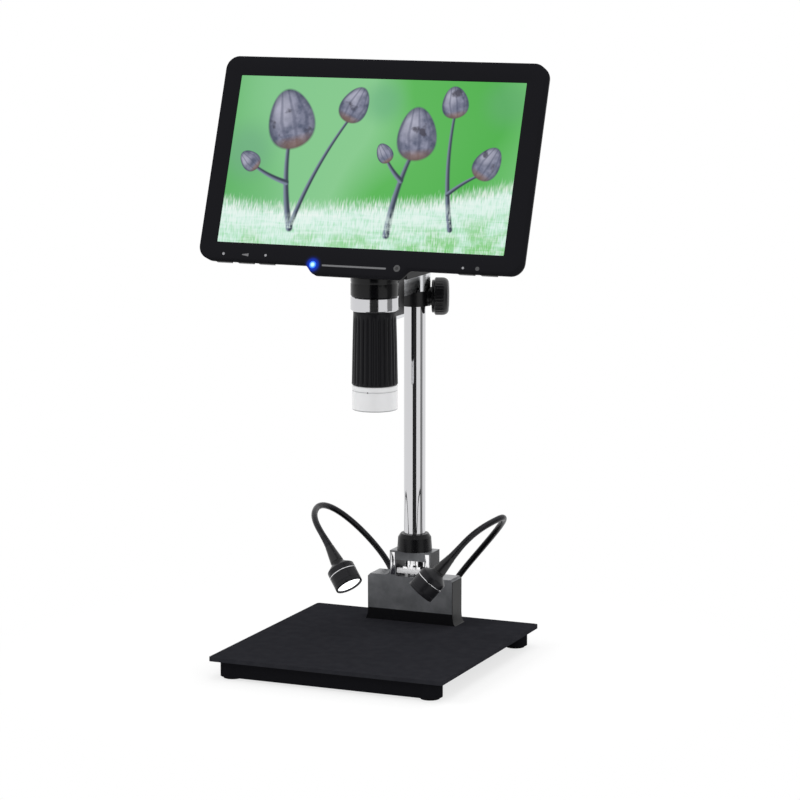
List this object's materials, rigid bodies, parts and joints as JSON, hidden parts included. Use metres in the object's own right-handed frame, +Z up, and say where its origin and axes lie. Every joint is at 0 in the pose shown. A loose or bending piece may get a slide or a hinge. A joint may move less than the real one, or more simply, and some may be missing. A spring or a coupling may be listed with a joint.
{
  "type": "lcd digital microscope",
  "caption": "Digital microscope with a tilting wide display over a lens column, on a chrome pillar with a flat base, a locking height carriage and bendable neck lamps.",
  "frame": {"origin": "on the standing surface, below the middle of the base plate", "axes": "+Z up, +X to the user's right, -Y towards the user, who faces the display"},
  "size_m": [0.2504, 0.1902, 0.4406],
  "materials": {
    "base_black": "satin black powder coat",
    "rail_black": "matt",
    "rubber": "matt",
    "steel": "bright",
    "cast_grey": "satin casting",
    "cover_black": "satin",
    "board_green": "solder mask",
    "black_plastic": "fine grain",
    "chrome": "polished",
    "nylon": "satin",
    "arm_grey": "satin casting",
    "neck_black": "gloss",
    "grip_black": "satin",
    "tube_black": "anodised",
    "lens_glass": "coated",
    "led_white": "white LED",
    "hood_clear": "translucent",
    "frame_black": "satin",
    "case_black": "fine grain",
    "picture": "lit picture",
    "status_blue": "lit blue",
    "key_black": "satin",
    "neck_grey": "sheathed spring tube",
    "lamp_black": "black anodised"
  },
  "bodies": {
    "stand": {"base_plate": "base_black", "foot_rail_front": "rail_black", "foot_rail_rear": "rail_black", "rubber_pads": "rubber", "base_screws": "steel", "pillar_bracket": "cast_grey", "bracket_rear_cover": "cover_black", "control_board": "board_green", "power_inlet": "steel", "pillar": "chrome", "pillar_nut": "chrome", "pillar_collar": "black_plastic", "pillar_cap": "black_plastic", "socket_left": "steel", "socket_right": "steel"},
    "dimmer": {"dimmer_knob": "black_plastic"},
    "liner": {"pillar_liner": "nylon"},
    "carriage": {"lock_sleeve": "black_plastic", "carriage_arm": "arm_grey", "arm_screws": "steel", "head_housing": "black_plastic", "head_cover": "black_plastic", "hinge_pins": "steel", "sensor_board": "board_green", "neck_tube": "neck_black", "bright_ring": "chrome", "guide_tube": "tube_black", "ring_light_board": "board_green", "ring_leds": "led_white", "clear_hood": "hood_clear"},
    "lock": {"lock_knob": "black_plastic", "lock_screw": "steel"},
    "focus": {"focus_grip": "grip_black"},
    "cell": {"lens_cell": "tube_black", "objective_lens": "lens_glass"},
    "display": {"display_frame": "frame_black", "display_rear_cover": "case_black", "display_panel": "picture", "main_board": "board_green", "key_board": "board_green", "status_light": "status_blue", "hinge_brackets": "steel"},
    "key_power": {"key_power": "key_black"},
    "key_menu": {"key_menu": "key_black"},
    "key_down": {"key_down": "key_black"},
    "key_up": {"key_up": "key_black"},
    "key_photo": {"key_photo": "key_black"},
    "neck_lower_left": {"neck_lower_left": "neck_grey"},
    "neck_upper_left": {"neck_upper_left": "neck_grey"},
    "lamp_left": {"lamp_left": "lamp_black", "lamp_ring_left": "steel", "lamp_led_left": "led_white", "lamp_lens_left": "lens_glass"},
    "neck_lower_right": {"neck_lower_right": "neck_grey"},
    "neck_upper_right": {"neck_upper_right": "neck_grey"},
    "lamp_right": {"lamp_right": "lamp_black", "lamp_ring_right": "steel", "lamp_led_right": "led_white", "lamp_lens_right": "lens_glass"}
  },
  "joints": [
    {"name": "dimmer_turn", "type": "hinge", "parent": "stand", "child": "dimmer", "pos_m": [0, 0.0805, 0.032], "axis": [0, 1, 0], "range_deg": [0, 270]},
    {"name": "height", "type": "slide", "parent": "stand", "child": "liner", "axis": [0, 0, 1], "range_m": [-0.1, 0.04]},
    {"name": "swing", "type": "hinge", "parent": "liner", "child": "carriage", "pos_m": [0, 0.0715, 0.26], "axis": [0, 0, 1], "range_deg": [-18, 18]},
    {"name": "lock_turn", "type": "hinge", "parent": "carriage", "child": "lock", "pos_m": [0, 0.0715, 0.2624], "axis": [0.9397, 0.342, 0], "range_deg": [0, 180]},
    {"name": "focus_turn", "type": "hinge", "parent": "carriage", "child": "focus", "pos_m": [0, -0.003, 0.23], "axis": [0, 0, 1], "range_deg": [0, 270]},
    {"name": "cell_slide", "type": "slide", "parent": "carriage", "child": "cell", "axis": [0, 0, 1], "range_m": [0, 0.01]},
    {"name": "display_tilt", "type": "hinge", "parent": "carriage", "child": "display", "pos_m": [0, -0.0205, 0.2967], "axis": [-1, 0, 0], "range_deg": [-15, 20]},
    {"name": "press_power", "type": "slide", "parent": "display", "child": "key_power", "axis": [0, 0.3453, 0.9385], "range_m": [0, 0.0005], "stiffness_N_per_m": 600, "springref_m": -0.0003},
    {"name": "press_menu", "type": "slide", "parent": "display", "child": "key_menu", "axis": [0, 0.3453, 0.9385], "range_m": [0, 0.0005], "stiffness_N_per_m": 600, "springref_m": -0.0003},
    {"name": "press_down", "type": "slide", "parent": "display", "child": "key_down", "axis": [0, 0.3453, 0.9385], "range_m": [0, 0.0005], "stiffness_N_per_m": 600, "springref_m": -0.0003},
    {"name": "press_up", "type": "slide", "parent": "display", "child": "key_up", "axis": [0, 0.3453, 0.9385], "range_m": [0, 0.0005], "stiffness_N_per_m": 600, "springref_m": -0.0003},
    {"name": "press_photo", "type": "slide", "parent": "display", "child": "key_photo", "axis": [0, 0.3453, 0.9385], "range_m": [0, 0.0005], "stiffness_N_per_m": 600, "springref_m": -0.0003},
    {"name": "neck_swing_left", "type": "hinge", "parent": "stand", "child": "neck_lower_left", "pos_m": [-0.026, 0.0875, 0.043], "axis": [0, -1, 0], "range_deg": [-12, 12]},
    {"name": "neck_bend_left", "type": "hinge", "parent": "neck_lower_left", "child": "neck_upper_left", "pos_m": [-0.0732, 0.055, 0.0993], "axis": [1, 0, 0], "range_deg": [-15, 10]},
    {"name": "lamp_aim_left", "type": "hinge", "parent": "neck_upper_left", "child": "lamp_left", "pos_m": [-0.04885, 0.02419, 0.07707], "axis": [1, 0, 0], "range_deg": [-15, 20]},
    {"name": "neck_swing_right", "type": "hinge", "parent": "stand", "child": "neck_lower_right", "pos_m": [0.026, 0.0875, 0.043], "axis": [0, 1, 0], "range_deg": [-12, 12]},
    {"name": "neck_bend_right", "type": "hinge", "parent": "neck_lower_right", "child": "neck_upper_right", "pos_m": [0.074, 0.055, 0.1025], "axis": [1, 0, 0], "range_deg": [-15, 10]},
    {"name": "lamp_aim_right", "type": "hinge", "parent": "neck_upper_right", "child": "lamp_right", "pos_m": [0.04885, 0.02419, 0.07707], "axis": [1, 0, 0], "range_deg": [-15, 20]}
  ],
  "couplings": [
    {"joint": "cell_slide", "follows": "focus_turn", "m_per_rad": 0.00212}
  ]
}
